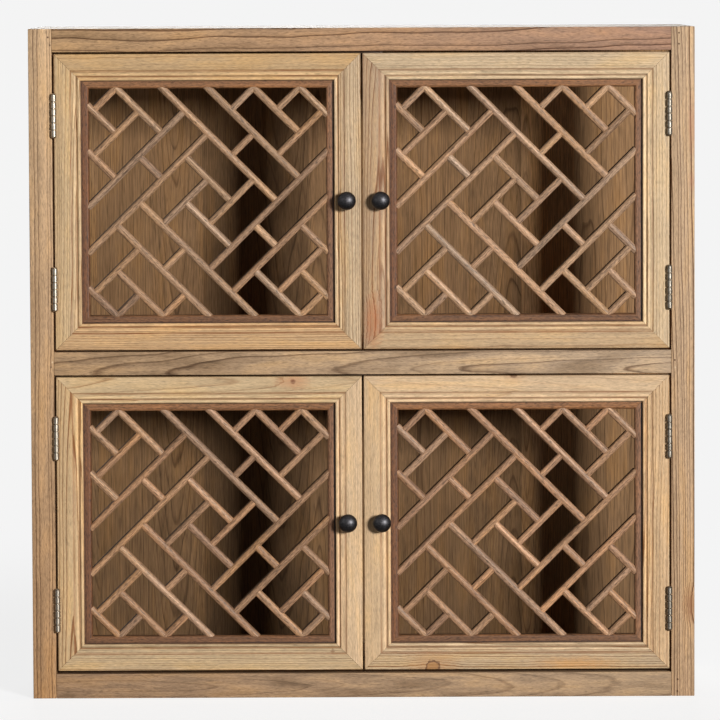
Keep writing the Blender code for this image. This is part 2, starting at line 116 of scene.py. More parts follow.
def soft_box(name, place, size, share):
    """A square lamp aimed at the doors that gives this share of plain light to a sheet on them."""
    lamp = bpy.data.lights.new(name, "AREA")
    lamp.size = size
    reach = target - Vector(place)
    lean = abs(reach.normalized().dot(inward))
    lamp.energy = share * math.pi ** 2 * reach.length_squared / lean
    made = bpy.data.objects.new(name, lamp)
    made.location = place
    made.rotation_euler = reach.to_track_quat("-Z", "Y").to_euler()
    scene.collection.objects.link(made)


soft_box("key_soft_box", (6.9, face_y - 14.0, 3.2), size=2.75, share=1.0)
soft_box("left_soft_box", (-2.7, face_y - 3.2, 1.6), size=0.7, share=0.03)
soft_box("rear_soft_box", (-0.4, face_y + 12.0, 3.6), size=3.0, share=0.40)

# %% [markdown]
# ## Shader nodes
# A material is a graph of small nodes. Each of these helpers adds one node and hands back what the next one
# needs, so that a material further down reads like a recipe.

# %% Node helpers
def new_material(name):
    """A material with its node tree and its shader."""
    material = bpy.data.materials.new(name)
    material.use_nodes = True
    return material, material.node_tree, material.node_tree.nodes["Principled BSDF"]


def feed(tree, node, inputs):
    """Set a node's inputs to values, or link them to the sockets that give them."""
    for key, value in inputs.items():
        if isinstance(value, bpy.types.NodeSocket):
            tree.links.new(value, node.inputs[key])
        else:
            node.inputs[key].default_value = value


def add(tree, kind, inputs=None, stops=None, **settings):
    """Add one shader node with its settings, its inputs and the greys of its ramp."""
    made = tree.nodes.new("ShaderNode" + kind)
    for key, value in settings.items():
        setattr(made, key, value)
    feed(tree, made, inputs or {})
    if stops:
        ramp = made.color_ramp.elements
        while len(ramp) < len(stops):
            ramp.new(1.0)
        for element, (position, grey) in zip(ramp, stops):
            element.position = position
            element.color = (grey, grey, grey, 1.0)
    return made


def calc(tree, operation, *values):
    """One sum on numbers."""
    return add(tree, "Math", dict(enumerate(values)), operation=operation).outputs[0]


def calc_vector(tree, operation, *values):
    """One sum on vectors; LENGTH gives a number."""
    made = add(tree, "VectorMath", dict(enumerate(values)), operation=operation)
    return made.outputs["Value" if operation == "LENGTH" else "Vector"]


def ranged(tree, value, low, high, new_low=0.0, new_high=1.0, **settings):
    """Carry a value from one range over to another and keep it inside."""
    limits = {0: value, 1: low, 2: high, 3: new_low, 4: new_high}
    return add(tree, "MapRange", limits, **settings).outputs[0]


def blended(tree, share, under, over, blend="MIX"):
    """One colour laid over another by this share, mixed or multiplied."""
    return add(tree, "Mix", {0: share, 6: under, 7: over}, data_type="RGBA", blend_type=blend).outputs[2]


# %% [markdown]
# ## White sweep
# The cabinet stands on pale paper in front of a white wall of light. Light Path tells camera rays from the
# rest: the eye sees white and shiny metal sees a half-bright room, while the light that falls on the wood
# stays low, so the shadows keep their depth.

# %% World
paper_white = 0.905
fill_share = 0.012
gloss_share = 0.5
world = bpy.data.worlds.new("white_studio")
scene.world = world
world.use_nodes = True
tree = world.node_tree
tree.nodes.clear()
path = add(tree, "LightPath").outputs
white, dim, shine = [add(tree, "Background", {"Color": (1, 1, 1, 1), "Strength": strength}).outputs[0]
                     for strength in (paper_white, fill_share, gloss_share)]
mixed = add(tree, "MixShader", {0: path["Is Glossy Ray"], 1: dim, 2: shine}).outputs[0]
mixed = add(tree, "MixShader", {0: path["Is Camera Ray"], 1: mixed, 2: white}).outputs[0]
add(tree, "OutputWorld", {"Surface": mixed})
print("world", world.name, "seen at", paper_white)

# %% [markdown]
# ## Floor
# The paper keeps the cabinet's shadow near its foot. Farther out it fades into the very white of the wall, so
# that no horizon shows from any side. Only the eye sees this lifted white: the light that the floor throws
# back on the wood comes from a plain grey.

# %% Floor
floor_half = 5.0
floor_albedo = 0.45
floor_seen = 0.30
floor_lift = 0.800
fade_from = 0.9
fade_to = 2.4
bm = bmesh.new()
bmesh.ops.create_grid(bm, x_segments=1, y_segments=1, size=floor_half)
floor_mesh = bpy.data.meshes.new("studio_floor")
bm.to_mesh(floor_mesh)
bm.free()
paper, tree, shader = new_material("floor_paper_matte")
eye = add(tree, "LightPath").outputs["Is Camera Ray"]
far = calc_vector(tree, "LENGTH", add(tree, "TexCoord").outputs["Object"])
far = ranged(tree, far, fade_from, fade_to, interpolation_type="SMOOTHSTEP")
lift = calc(tree, "MULTIPLY", eye, ranged(tree, far, 0.0, 1.0, floor_lift, paper_white))
seen = ranged(tree, far, 0.0, 1.0, floor_seen, 0.0)
grey = ranged(tree, eye, 0.0, 1.0, floor_albedo, seen)
feed(tree, shader, {"Base Color": grey, "Roughness": 0.9, "Specular IOR Level": 0.0,
                    "Emission Color": (1, 1, 1, 1), "Emission Strength": lift})
floor_mesh.materials.append(paper)
floor = bpy.data.objects.new("studio_floor", floor_mesh)
scene.collection.objects.link(floor)
print("floor", 2 * floor_half, "m wide")

# %% [markdown]
# ## Helpers for pieces
# Colours are written as the hex codes a designer reads off a picture and turned into linear light once.
# Wood looks right only when the grain runs along each board, so every board carries its own grain
# coordinates on its vertices: along the fibres, across the face, and in from the bark side. Two more vectors
# hold the board's tone and its marks (ring contrast, grey weathering, and stain that also paints shade).

# %% Colour and mesh helpers
LAYERS = ("grain", "tone", "marks")


def linear(code):
    """Linear RGBA of an sRGB hex code."""
    parts = [int(code[n:n + 2], 16) / 255 for n in (1, 3, 5)]
    return (*[c / 12.92 if c <= 0.04045 else ((c + 0.055) / 1.055) ** 2.4 for c in parts], 1.0)


def tone(code, base):
    """Multiplier that turns a wood's base colour into this one."""
    return Vector([a / b for a, b in zip(linear(code)[:3], linear(base)[:3])])


def blank():
    """An empty mesh that carries grain, tone and marks on its vertices."""
    bm = bmesh.new()
    for name in LAYERS:
        bm.verts.layers.float_vector.new(name)
    return bm


def paint(bm, **values):
    """Write vectors on all vertices: each value is a vector or a function of the vertex's place."""
    for name, value in values.items():
        layer = bm.verts.layers.float_vector[name]
        for vert in bm.verts:
            vert[layer] = value(vert.co) if callable(value) else value


def drawn(bm, ring):
    """Fill a ring of points at one end of a length along X and draw it to its mirror image at the other."""
    face = bm.faces.new([bm.verts.new(place) for place in ring])
    for item in bmesh.ops.extrude_face_region(bm, geom=[face])["geom"]:
        if isinstance(item, bmesh.types.BMVert):
            item.co.x = -item.co.x


def gather(whole, bit, matrix=None):
    """Move a finished bit into a larger mesh."""
    if matrix:
        bit.transform(matrix)
    kept = bpy.data.meshes.new("bit")
    bit.to_mesh(kept)
    bit.free()
    whole.from_mesh(kept)
    bpy.data.meshes.remove(kept)


def make_piece(name, bm, material, body, nodes=(), smooth=40):
    """Turn a mesh into a piece that rides on a body and stands for CAD nodes.

    Edges that turn by less than smooth, in degrees, are shaded round.
    """
    bmesh.ops.recalc_face_normals(bm, faces=bm.faces)
    mesh = bpy.data.meshes.new(name)
    bm.to_mesh(mesh)
    bm.free()
    mesh.materials.append(material)
    mesh.shade_smooth()
    mesh.set_sharp_from_angle(angle=math.radians(smooth))
    piece = bpy.data.objects.new(name, mesh)
    scene.collection.objects.link(piece)
    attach(piece, body)
    if nodes:
        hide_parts(*nodes)


# %% [markdown]
# ## Wood
# Softwood shows two things: growth rings, pale in spring and ending in a sharp dark summer line, and
# fine fibres along the board. The rings are cylinders about the pith, so a ring number is the distance
# from the pith divided by the ring spacing. Where a board leans through those cylinders its face shows
# tongues and arches, and where it does not it shows straight lines. A slow noise bends them, a random
# number for each ring makes some summers darker than others, and stretched noises draw the fibres.
# Old wood is also uneven: it greys in some patches and stays amber in others.

# %% Wood material
def stretched(tree, grain, scales, detail, roughness=0.5):
    """Noise drawn out along the fibres; scales are features per metre along, across and in."""
    place = calc_vector(tree, "MULTIPLY", grain, scales)
    return add(tree, "TexNoise", {"Vector": place, "Scale": 1.0, "Detail": detail,
                                  "Roughness": roughness}).outputs


def wood(name, light, dark, stain_and_shade, spacing, bend, fibre, dashes, rough, sheen, spots=()):
    """Ringed and fibred wood that follows a board's grain.

    The three colours are spring wood, summer lines and the stain in grooves, which also paints shade into
    recesses. spacing is the width of a ring and bend how far the rings wander, in metres; fibre is the
    strength of the fibres and dashes their number per metre of length; spots are knots, patches and filled
    nail holes.
    """
    material, tree, shader = new_material(name)
    grain, board_tone, marks = [add(tree, "Attribute", attribute_name=layer).outputs["Vector"]
                                for layer in LAYERS]
    contrast, weathered, stained_and_shaded = add(tree, "SeparateXYZ", {0: marks}).outputs

    # Fibres: short fine dashes, longer streaks and pores; they give the dry, brushed look. Real fibres are
    # a few hundredths of a millimetre across, too fine to show, so these are drawn 1 to 5 mm across.
    fine = stretched(tree, grain, (dashes, 700.0, 700.0), 2.0, 0.7)[0]
    broad = stretched(tree, grain, (7.0, 210.0, 210.0), 2.0, 0.6)[0]
    streaks = add(tree, "Mix", {0: 0.4, 2: fine, 3: broad}).outputs[0]
    pores = stretched(tree, grain, (dashes, 900.0, 900.0), 0.0)[0]
    pores = ranged(tree, pores, 0.60, 0.72, 1.0, 1.0 - 1.1 * fibre)
    shade = ranged(tree, streaks, 0.36, 0.64, 1.0 - fibre, 1.0 + fibre)
    shade = calc(tree, "MULTIPLY", shade, pores)

    # Growth rings about the pith, bent by a slow noise.
    slow = stretched(tree, grain, (4.5, 26.0, 26.0), 2.0)["Color"]
    bent = calc_vector(tree, "MULTIPLY_ADD", slow, (0, bend, bend), grain)
    radius = calc_vector(tree, "LENGTH", calc_vector(tree, "MULTIPLY", bent, (0, 1, 1)))

    # Spots lie at fixed places on the piece; a knot also pushes the rings aside.
    place = add(tree, "TexCoord").outputs["Object"]
    ragged = add(tree, "TexNoise", {"Vector": place, "Scale": 160.0, "Detail": 2.0}).outputs[0]
    ragged = calc(tree, "MULTIPLY_ADD", ragged, 0.8, -0.4)
    worn = ranged(tree, streaks, 0.38, 0.6, 0.55, 1.2)
    covers = []
    for x, z, half_w, half_h, code, strength, soft, push in spots:
        away = calc_vector(tree, "SUBTRACT", place, (x, 0, z))
        away = calc_vector(tree, "MULTIPLY", away, (1 / half_w, 0, 1 / half_h))
        far = calc(tree, "ADD", calc_vector(tree, "LENGTH", away), ragged)
        near = ranged(tree, far, 1 - soft, 1 + soft, strength, 0.0)
        radius = calc(tree, "MULTIPLY_ADD", near, push, radius)
        covers.append((calc(tree, "MULTIPLY", near, worn), linear(code)))

    # A ring is pale spring wood that ends in a thin dark summer line; no two summers are the same.
    drift = calc(tree, "MULTIPLY", radius, 60.0)
    years = add(tree, "TexNoise", {"W": drift, "Scale": 1.0, "Detail": 1.0}, noise_dimensions="1D").outputs[0]
    years = calc(tree, "MULTIPLY", years, 2.4)
    ring = calc(tree, "MULTIPLY_ADD", radius, 1.0 / spacing, years)
    year = calc(tree, "FLOOR", ring)
    summer = add(tree, "TexWhiteNoise", {"W": year}, noise_dimensions="1D").outputs[0]
    summer = ranged(tree, summer, 0.0, 1.0, 0.5, 1.0)
    line = add(tree, "ValToRGB", {0: calc(tree, "FRACT", ring)}, stops=[
        (0.0, 0.25), (0.06, 0.0), (0.55, 0.06), (0.82, 0.25), (0.94, 1.0), (1.0, 0.6)]).outputs[0]
    late = calc(tree, "MULTIPLY", calc(tree, "MULTIPLY", line, summer), contrast)

    # Colour: rings, fibres, grey and amber patches, the board's own tone, spots, stain in the grooves and
    # painted shade in recesses.
    grey_patch, amber_patch = linear("#b9b0a4"), (1.08, 0.99, 0.80, 1)
    colour = blended(tree, late, linear(light), linear(dark))
    colour = blended(tree, 1.0, colour, shade, "MULTIPLY")
    patch = stretched(tree, grain, (7.0, 34.0, 34.0), 3.0, 0.6)[0]
    blotch = calc(tree, "MULTIPLY", ranged(tree, patch, 0.42, 0.66), weathered)
    colour = blended(tree, blotch, colour, grey_patch, "MULTIPLY")
    amber = ranged(tree, patch, 0.52, 0.34, 0.0, 0.75)
    colour = blended(tree, amber, colour, amber_patch, "MULTIPLY")
    colour = blended(tree, 1.0, colour, board_tone, "MULTIPLY")
    for near, spot in covers:
        colour = blended(tree, near, colour, spot)
    rubbed = ranged(tree, broad, 0.36, 0.58, 0.5, 1.0)
    # Stain, and painted shade where a section asks for it, laid over the colour.
    colour = blended(tree, calc(tree, "MULTIPLY", stained_and_shaded, rubbed), colour, linear(stain_and_shade))

    # Summer lines lie a little sunk, so a low light catches the grain.
    gloss = ranged(tree, streaks, 0.3, 0.7, rough - 0.1, rough + 0.1)
    sunk = calc(tree, "MULTIPLY_ADD", late, -0.6, streaks)
    bump = add(tree, "Bump", {"Height": sunk, "Strength": 0.6, "Distance": 0.0008}).outputs[0]
    feed(tree, shader, {"Base Color": colour, "Roughness": gloss, "Normal": bump,
                        "Specular IOR Level": sheen})
    return material


print("wood ready")

# %% [markdown]
# ## Three woods for the front
# The face frame is weathered and dry, with strong rings. The doors are honey pine under wax, brighter and
# smoother. The lattice is stained red-brown, and its sticks are so thin that the fibres show more than the
# rings. A few marks that anyone would remember sit at fixed places: nail heads and their filler where
# the rails meet the posts, a knot with a dark rim on the lower right door, and some red heartwood.

# %% Woods and spots
FRAME_BASE = "#b8966f"
DOOR_BASE = "#d3b187"
LATTICE_BASE = "#a87c5a"
NAIL, FILLER = "#4a2f1c", "#d8bd98"

# Each spot is x, z, half width, half height, colour, strength, softness of the rim, push on the rings.
frame_spots = [(x, z, 0.0013, 0.0014, code, 0.85, 0.3, 0.0) for x, z, code in (
    (-0.4693, 0.5026, NAIL), (-0.4671, 0.5099, FILLER), (-0.4700, 0.9985, NAIL), (-0.4672, 0.9865, NAIL),
    (0.4765, 1.0015, NAIL), (0.4762, 0.9850, NAIL), (0.4702, 0.5095, NAIL), (0.4710, 0.4985, FILLER),
    (0.4743, 0.0253, NAIL), (0.4742, 0.0075, NAIL))]
frame_spots += [(0.4970, 0.8620, 0.006, 0.036, "#b07c60", 0.5, 0.5, 0.0),
                (0.4965, 0.7790, 0.005, 0.012, "#b07c60", 0.45, 0.5, 0.0),
                (0.4950, 0.1390, 0.010, 0.022, "#8a5a3c", 0.6, 0.6, 0.012)]
door_spots = [(-0.1040, 0.4790, 0.020, 0.009, "#b5673a", 0.45, 0.6, 0.004),
              (-0.1047, 0.4790, 0.0040, 0.0034, "#6b3a1e", 0.75, 0.3, 0.0),
              (0.2270, 0.4873, 0.014, 0.009, "#b98a5c", 0.4, 0.6, 0.006),
              (0.2270, 0.4873, 0.0055, 0.0040, "#5a351e", 0.85, 0.25, 0.0),
              (0.1040, 0.0480, 0.030, 0.016, "#bd8348", 0.5, 0.7, 0.010),
              (0.1040, 0.0455, 0.0112, 0.0105, "#4f2d16", 1.0, 0.10, 0.0),
              (0.1040, 0.0455, 0.0088, 0.0080, "#b08150", 1.0, 0.16, 0.0),
              (-0.0470, 0.0700, 0.0030, 0.0030, "#6e4526", 0.7, 0.4, 0.004),
              (0.0165, 0.5690, 0.011, 0.034, "#b0602f", 0.55, 0.6, 0.008),
              (0.3200, 0.0510, 0.050, 0.008, "#d39248", 0.5, 0.6, 0.004)]
frame_pine = wood("weathered_pine_oiled", "#c6a57f", "#5f4129", "#4a301c", spacing=0.0066, bend=0.010,
                  fibre=0.24, dashes=120.0, rough=0.62, sheen=0.2, spots=frame_spots)
door_pine = wood("honey_pine_waxed", "#d9b88d", "#94653a", "#7d4212", spacing=0.0042, bend=0.008,
                 fibre=0.21, dashes=110.0, rough=0.50, sheen=0.3, spots=door_spots)
# Its near-black stain colour is painted shade: on the rising bars' flanks, the bars' sides and the strips'
# seams.
lattice_wood = wood("lattice_pine_stained", "#b98c6a", "#6f4932", "#0e0704", spacing=0.0026, bend=0.006,
                    fibre=0.46, dashes=140.0, rough=0.50, sheen=0.28)
print("woods", [m.name for m in (frame_pine, door_pine, lattice_wood)])

# %% [markdown]
# ## Face frame
# Two posts run the full height and three rails are tenoned between them. The tenons are hidden, so each
# visible board is a plain plank with its arrises softened by a pass of sandpaper. The camera sees
# the wide faces: the left post has straight rings, the rails show tongues where the saw leaned
# through the rings.

# %% Stiles and rails
random.seed(7)


def slab(low, high, ease, bm=None):
    """A block with eased edges, in an empty mesh that is given or made."""
    low, high = Vector(low), Vector(high)
    bm = bm or bmesh.new()
    bmesh.ops.create_cube(bm, size=1.0, matrix=Matrix.LocRotScale((low + high) / 2, None, high - low))
    bmesh.ops.bevel(bm, geom=bm.edges, offset=ease, affect="EDGES", segments=2, profile=0.5, material=-1)
    return bm


def plank(low, high, along, deep, ease, pith, lean, spread, colours, marks):
    """A board with eased edges; the pith lies across and in, in metres; colours are for the two ends."""
    bm = slab(low, high, ease, blank())
    size, middle = high - low, (low + high) / 2
    run = random.uniform(0, 40)
    across = 3 - along - deep

    def fibres(place):
        u = place[along] - middle[along]
        v = (place[across] - middle[across] - pith[0]) * spread
        w = (place[deep] - low[deep] + pith[1] + lean * u) * spread
        return (u + run, v, w)

    def tint(place):
        return colours[0].lerp(colours[1], (place[along] - low[along]) / size[along])

    paint(bm, grain=fibres, tone=tint, marks=marks)
    return bm


ease = 0.0008
joint_gap = 0.0003

# Each board is its node, the axis it runs along, the place of its pith, its lean through the rings, their
# spread, the colours of its two ends, and its marks: ring contrast, weathering, stain.
boards = (
    ("left_stile", 2, (0.130, 0.06), 0.004, 0.95, ("#a37c56", "#c09d76"), (1.5, 0.35, 0)),
    ("right_stile", 2, (-0.034, 0.016), 0.026, 1.5, ("#b7936e", "#bf9e7a"), (1.6, 0.3, 0)),
    ("top_rail", 0, (0.060, 0.050), 0.016, 0.7, ("#b18c64", "#9a755d"), (1.2, 0.6, 0)),
    ("middle_rail", 0, (-0.006, 0.022), -0.045, 1.0, ("#a88764", "#b39778"), (0.9, 0.8, 0)),
    ("bottom_rail", 0, (0.004, 0.016), 0.055, 1.2, ("#9a7a5c", "#a38666"), (0.5, 0.8, 0)),
)
stile_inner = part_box("right_stile")[0].x
for name, along, pith, lean, spread, codes, marks in boards:
    low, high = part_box(name)
    if along == 0:
        low.x, high.x = -stile_inner + joint_gap, stile_inner - joint_gap
    tones = [tone(code, FRAME_BASE) for code in codes]
    bm = plank(low, high, along, 1, ease, pith, lean, spread, tones, marks)
    make_piece(name + "_board", bm, frame_pine, "carcass", [name])
print("face frame boards", len(boards))

# %% [markdown]
# ## Door frames
# Each door is four lengths of one moulding, cut to mitres at the corners: a broad flat, a small step, a
# swelling band, a sunk quirk and a round bead, with a rebate behind for the grille. A cutter drew it
# along the grain, so the section is swept along the length. Old stain stays in the step and the
# quirk, and the bead wobbles a little where hands have sanded it. The same dark is painted as shade
# on the bead's inner wall down to the grille, in the rebate and on the outer edge in the gap.

# %% Moulding section
ROWS, SIDES = ("upper", "lower"), ("left", "right")
DOORS = [(f"{row}_{side}", side) for row in ROWS for side in SIDES]
flat_w, step_w, band_w, quirk_w, bead_w = 0.024, 0.001, 0.008, 0.0015, 0.0055
step_deep, band_deep, quirk_deep, bead_deep = 0.0010, 0.0026, 0.0042, 0.0016
door_t, lip_t, rebate_w = 0.020, 0.0075, 0.0045
member_w = flat_w + step_w + band_w + quirk_w + bead_w
arris = 0.0012
band_stain = (0.45, 0.12, 0.0, 0.0, 0.0, 0.12, 0.3, 0.5)
# The bead's ends: stain by the quirk, painted shade where it drops to the grille.
bead_stain_and_shade = {0: 0.9, 1: 0.5, 9: 0.4, 10: 1.0}


def arc(centre, radii, start, end, steps):
    """Points of an elliptical arc in degrees, both ends included."""
    turns = [math.radians(start + (end - start) * n / steps) for n in range(steps + 1)]
    return [(centre[0] + radii[0] * math.cos(t), centre[1] + radii[1] * math.sin(t)) for t in turns]


def moulding_section():
    """Section as (across from the outer edge, depth from the face, stain and painted shade)."""
    band = flat_w + step_w
    quirk = band + band_w
    bead = quirk + quirk_w
    radius = bead_w / 2
    edge = arc((arris, arris), (arris, arris), -180, -90, 4)
    # Dark on the outer edge in the gap, on the bead's inner wall and in the rebate is painted shade; in the
    # step and quirk it is stain.
    points = [(0, door_t, 0.3), *[(a, d, 0.1) for a, d in edge], (flat_w - arris, 0, 0.0),
              (flat_w - 0.0003, 0.0001, 0.4), (flat_w, 0.0002, 0.7), (band - 0.0001, step_deep, 1.0)]
    swell = arc((band, band_deep), (band_w, band_deep - step_deep), -90, 0, 8)[1:]
    points += [(a, d, stain_and_shade) for (a, d), stain_and_shade in zip(swell, band_stain)]
    points += [(quirk, quirk_deep - 0.0004, 0.9), (quirk + 0.0004, quirk_deep, 1.0),
               (bead - 0.0003, quirk_deep, 1.0)]
    roll = arc((bead + radius, quirk_deep), (radius, quirk_deep - bead_deep), -180, 0, 10)
    points += [(a, d, bead_stain_and_shade.get(n, 0.0)) for n, (a, d) in enumerate(roll)]
    points += [(member_w, lip_t, 1.0), (member_w - rebate_w, lip_t, 0.5), (member_w - rebate_w, door_t, 0.3)]
    return points


print("points in the section", len(moulding_section()))

# %% [markdown]
# ## One length of moulding
# The section is extruded and its ends are already mitred, because a point that lies farther in starts later.
# Cuts along the length carry the unevenness of hand work: stain that was wiped off here and
# there, crowns painted pale as rubbed wear and as a highlight, and a bead that wobbles by a third of a
# millimetre.

# %% Sweep a member
sweep_cuts = 48
wobble = 0.00035
wiped_by, rubbed_by = 0.5, 0.3
# How often a metre the stain is wiped, the pale of the crowns varies and the bead wobbles; the last two also
# across.
wiped_rate, rubbed_rate, wobble_rate = 22, (38, 200), (45, 260)


def moulding(length, seed, colours, crown_wear_and_highlight, marks, pith, lean, spread):
    """One mitred member: X along it, +Y into the door, across running down from z = 0."""
    section = moulding_section()
    stains_and_shade = {(round(-across, 6), round(deep, 6)): stain_and_shade for across, deep, stain_and_shade in section}
    bm = blank()
    drawn(bm, [(-length / 2 + across, deep, -across) for across, deep, stain_and_shade in section])
    sweep = [e for e in bm.edges if abs(e.verts[0].co.x - e.verts[1].co.x) > length / 2]
    bmesh.ops.subdivide_edges(bm, edges=sweep, cuts=sweep_cuts)
    run = random.uniform(0, 40)

    def fibres(place):
        return (place.x + run, (place.z + member_w / 2 - pith[0]) * spread,
                (place.y + pith[1] + lean * place.x) * spread)

    def marked(place):
        stain_and_shade = stains_and_shade.get((round(place.z, 6), round(place.y, 6)), 0.0)
        wiped = 1.0 + wiped_by * noise.noise((place.x * wiped_rate + seed, stain_and_shade, seed))
        return (marks[0], marks[1], marks[2] * stain_and_shade * wiped)

    # Crowns are painted paler: rubbed wear and a painted highlight.
    def rubbed(place):
        stain_and_shade = stains_and_shade.get((round(place.z, 6), round(place.y, 6)), 1.0)
        spot = (place.x * rubbed_rate[0] + seed * 5, place.z * rubbed_rate[1], seed)
        worn = crown_wear_and_highlight + rubbed_by * noise.noise(spot)
        return colours * (worn if stain_and_shade == 0.0 and -place.z > flat_w else 1.0)

    paint(bm, grain=fibres, tone=rubbed, marks=marked)
    for vert in bm.verts:
        across = -vert.co.z
        if flat_w < across < member_w - 0.0002 and vert.co.y < quirk_deep + 0.001:
            spot = (vert.co.x * wobble_rate[0] + seed * 7, across * wobble_rate[1], seed)
            vert.co.y += wobble * noise.noise(spot)
    return bm


# %% [markdown]
# ## Four doors of four members
# Every member came from its own board, so each has its own colour, ring contrast, brightness of the
# crowns, painted pale as rubbed wear and as a highlight, and amount of stain and painted shade, in the order
# top rail, bottom rail, hinge stile, knob stile.

# %% Make the door frames
MEMBERS = {
    "upper_left": (("#bd9b71", 0.5, 1.32, 0.65), ("#cca67a", 1.9, 1.22, 0.7),
                   ("#c9aa81", 1.4, 1.2, 0.5), ("#c9ad8a", 1.7, 1.22, 0.65)),
    "upper_right": (("#c9ae8b", 0.9, 1.22, 0.65), ("#c0a07a", 0.6, 1.22, 0.7),
                    ("#cfb28c", 1.1, 1.46, 0.4), ("#b29373", 1.3, 1.22, 0.65)),
    "lower_left": (("#c5a881", 0.7, 1.22, 0.65), ("#c6aa84", 1.2, 0.9, 0.7),
                   ("#c6a57b", 1.7, 1.22, 0.55), ("#d3b28c", 0.5, 1.22, 0.6)),
    "lower_right": (("#ceae89", 0.4, 1.22, 0.65), ("#bfa482", 1.9, 1.22, 0.7),
                    ("#cfab81", 1.1, 1.22, 0.5), ("#ccab84", 0.4, 1.22, 0.6)),
}
members_made = 0
for door, side in DOORS:
    sign = -1 if side == "left" else 1
    top_low, top_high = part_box(f"{door}_door_top_rail")
    stile_low, stile_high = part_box(f"{door}_door_hinge_stile")
    bottom_low, bottom_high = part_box(f"{door}_door_bottom_rail")
    knob_low, knob_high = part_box(f"{door}_door_knob_stile")
    mid_x = (top_low.x + top_high.x) / 2
    mid_z = (stile_low.z + stile_high.z) / 2
    hinge_x = stile_low.x if side == "left" else stile_high.x
    meet_x = knob_high.x if side == "left" else knob_low.x
    face = top_low.y
    quarter = sign * math.pi / 2
    places = (
        ("top_rail", top_high.x - top_low.x, (mid_x, face, top_high.z), 0.0),
        ("bottom_rail", bottom_high.x - bottom_low.x, (mid_x, face, bottom_low.z), math.pi),
        ("hinge_stile", stile_high.z - stile_low.z, (hinge_x, face, mid_z), quarter),
        ("knob_stile", knob_high.z - knob_low.z, (meet_x, face, mid_z), -quarter),
    )
    for (part, length, place, turn), (code, contrast, crown_wear_and_highlight, stain_and_shade) in zip(places, MEMBERS[door]):
        members_made += 1
        pith = (random.uniform(-0.12, 0.12), random.uniform(0.02, 0.07))
        bm = moulding(length, members_made, tone(code, DOOR_BASE), crown_wear_and_highlight, (contrast, 0.25, stain_and_shade), pith,
                      random.uniform(-0.03, 0.03), random.uniform(0.9, 1.5))
        bm.transform(Matrix.Translation(place) @ Matrix.Rotation(turn, 4, "Y"))
        node = f"{door}_door_{part}"
        make_piece(node + "_moulding", bm, door_pine, f"{door}_door", [node])
print("door mouldings", members_made)

# %% [markdown]
# ## Lattice grilles
# The pattern is a traditional diagonal one: bars on a ten by ten grid, each stopped against the next, and
# the whole turned by half a turn gives itself again. So half of the bars are listed, each as the crossing
# where it starts, counted from the top left, and the number of cells that it crosses.

# %% Pattern
grid = 10
falling_half = ((1, 0, 2), (3, 0, 5), (5, 0, 4), (7, 0, 2), (9, 0, 1),
                (0, 1, 1), (0, 3, 1), (2, 3, 1), (4, 3, 2))
rising_half = ((0, 1, 1), (0, 3, 2), (0, 5, 4), (0, 7, 5), (6, 1, 1),
               (8, 1, 1), (8, 3, 2), (6, 3, 1), (3, 6, 2))


def half_turn(point):
    """The grid crossing opposite a given one."""
    return (grid - point[0], grid - point[1])


def bars():
    """Start and end crossings of all bars, falling and rising."""
    falling = [((i, j), (i + n, j + n)) for i, j, n in falling_half]
    rising = [((i, j), (i + n, j - n)) for i, j, n in rising_half]
    falling += [(half_turn(b), half_turn(a)) for a, b in falling]
    rising += [(half_turn(b), half_turn(a)) for a, b in rising]
    return falling, rising


print("bars", [len(group) for group in bars()])

# %% [markdown]
# ## Sticks
# Every bar is a half-round stick cut from its own piece of wood, so each has its own tone and streaks. It is
# drawn a little wider than its solid, as the photograph shows it. Some falling bars have their crest painted
# pale on the side towards the lamp, as rubbed wear and as a painted highlight. The rising bars have a planed
# flank on their upper left side that never sees the lamp; it is painted near black as shade, and that
# draws a thin dark line beside them. The straight sides of every bar are darkened as painted shade too.

# %% Bars with a section
strip_t = 0.0115
bar_w, bar_set, bar_crown, flank_w = 0.0113, 0.0005, 0.0037, 0.0013
# The crest is painted pale on the side towards the lamp: rubbed wear and a painted highlight.
crest_up, crest_w = 0.0013, 0.0015
crest_wear_and_highlight = Vector((0.75, 0.95, 1.15))


def stick(run, section, colours, contrast, rubbed=0.0):
    """A bar along X from (across, depth, stain and painted shade) points; its upper crest can be painted
    pale, as wear and a highlight.
    """
    bm = blank()
    drawn(bm, [(-run / 2, deep, across) for across, deep, stain_and_shade in section])
    stains_and_shade = {(round(across, 6), round(deep, 6)): stain_and_shade for across, deep, stain_and_shade in section}
    start, turn = random.uniform(0, 60), random.uniform(0, 6.28)
    far = random.uniform(0.02, 0.05)
    pale_wear_and_highlight = rubbed * colours * crest_wear_and_highlight
    paint(bm, tone=lambda p: colours + pale_wear_and_highlight * math.exp(-((p.z - crest_up) / crest_w) ** 2),
          grain=lambda p: (p.x + start, p.z + far * math.cos(turn), p.y + far * math.sin(turn)),
          marks=lambda p: (contrast, 0.3, stains_and_shade[(round(p.z, 6), round(p.y, 6))]))
    return bm


def bar_section(flank):
    """Half-round front on straight sides, darkened as painted shade; a flank leaves the upper side sloping
    and painted near black as shade.
    """
    half = bar_w / 2
    back = strip_t - bar_set
    points = [(-half, back, 0.4)]
    points += [(x, y, 0.15 if n == 0 else 0.0) for n, (x, y) in enumerate(
        arc((0, bar_set + bar_crown), (half, bar_crown), -180, -90, 7))]
    if flank:
        # The flank is painted near black as shade.
        brow = half - flank_w
        points += [(x, y, 0.0) for x, y in arc((0, bar_set + bar_crown), (brow, bar_crown), -90, -22, 5)[1:]]
        points += [(brow, bar_set + bar_crown - 0.0008, 0.0),
                   (brow + 0.0002, bar_set + bar_crown - 0.0005, 1.0), (half, back, 1.0)]
    else:
        points += [(x, y, 0.0) for x, y in arc((0, bar_set + bar_crown), (half, bar_crown), -90, 0, 7)[1:]]
        points += [(half, back, 0.4)]
    return points


print("points of a falling bar", len(bar_section(False)), "and of a rising one", len(bar_section(True)))
